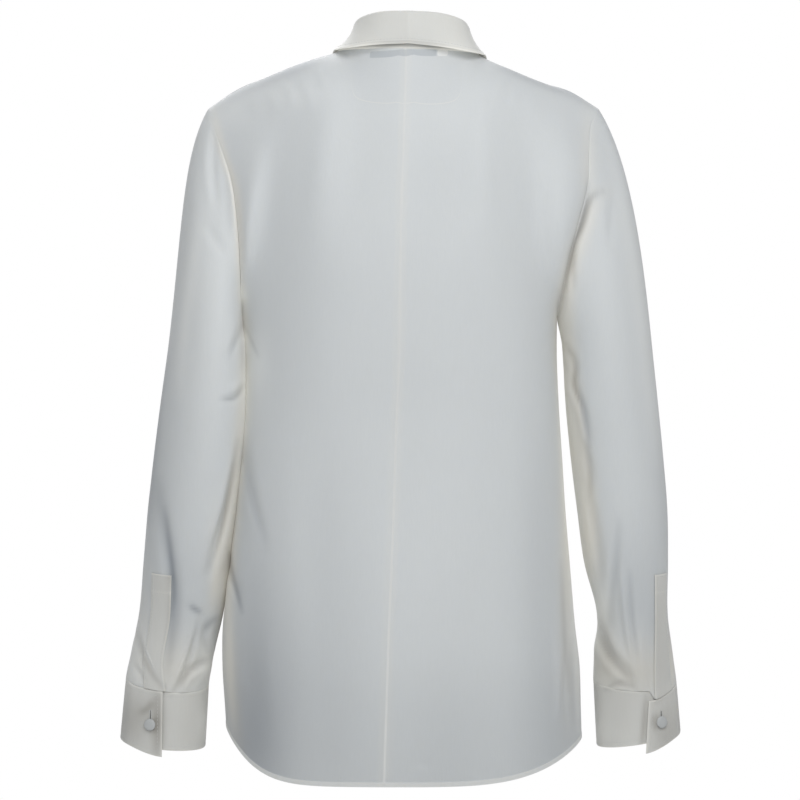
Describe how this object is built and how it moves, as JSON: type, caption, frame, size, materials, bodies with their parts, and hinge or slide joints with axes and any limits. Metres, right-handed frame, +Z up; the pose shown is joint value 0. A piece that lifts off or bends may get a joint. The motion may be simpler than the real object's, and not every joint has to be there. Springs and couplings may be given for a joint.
{
  "type": "silk blouse",
  "caption": "Long-sleeved silk shirt blouse in its worn shape: turned-down collar on a stand, buttoned front, centre-back seam, buttoned cuffs, shirt-tail hem.",
  "frame": {"origin": "where the wearer holds the blouse up: the middle of the neck opening, level with the top of the shoulders just below the back neck seam's height", "axes": "+Z up the wearer's body, the buttoned front faces -Y, the wearer's left is +X"},
  "size_m": [0.5473, 0.2435, 0.7404],
  "materials": {
    "silk": "one layer of ivory silk crepe, matte satin, slightly see-through",
    "silk_double": "two layers of ivory silk crepe with a thin interlining, warm cream",
    "covered_button": "button covered in the same silk",
    "label": "blank woven label, blue-grey",
    "tab": "blank woven tab, white"
  },
  "bodies": {
    "root": {"back_left": "silk", "back_neck_facing": "silk", "back_right": "silk", "button_cuff_left": "covered_button", "button_cuff_right": "covered_button", "button_front_1": "covered_button", "button_front_2": "covered_button", "button_front_3": "covered_button", "button_front_4": "covered_button", "button_front_5": "covered_button", "button_front_6": "covered_button", "button_front_7": "covered_button", "button_stand": "covered_button", "collar_fall": "silk_double", "collar_stand": "silk_double", "cuff_left": "silk_double", "cuff_right": "silk_double", "front_band_under": "silk_double", "front_band_upper": "silk_double", "front_left": "silk", "front_right": "silk", "neck_label": "label", "placket_left": "silk_double", "placket_right": "silk_double", "size_tab": "tab", "sleeve_left": "silk", "sleeve_right": "silk"}
  },
  "joints": []
}
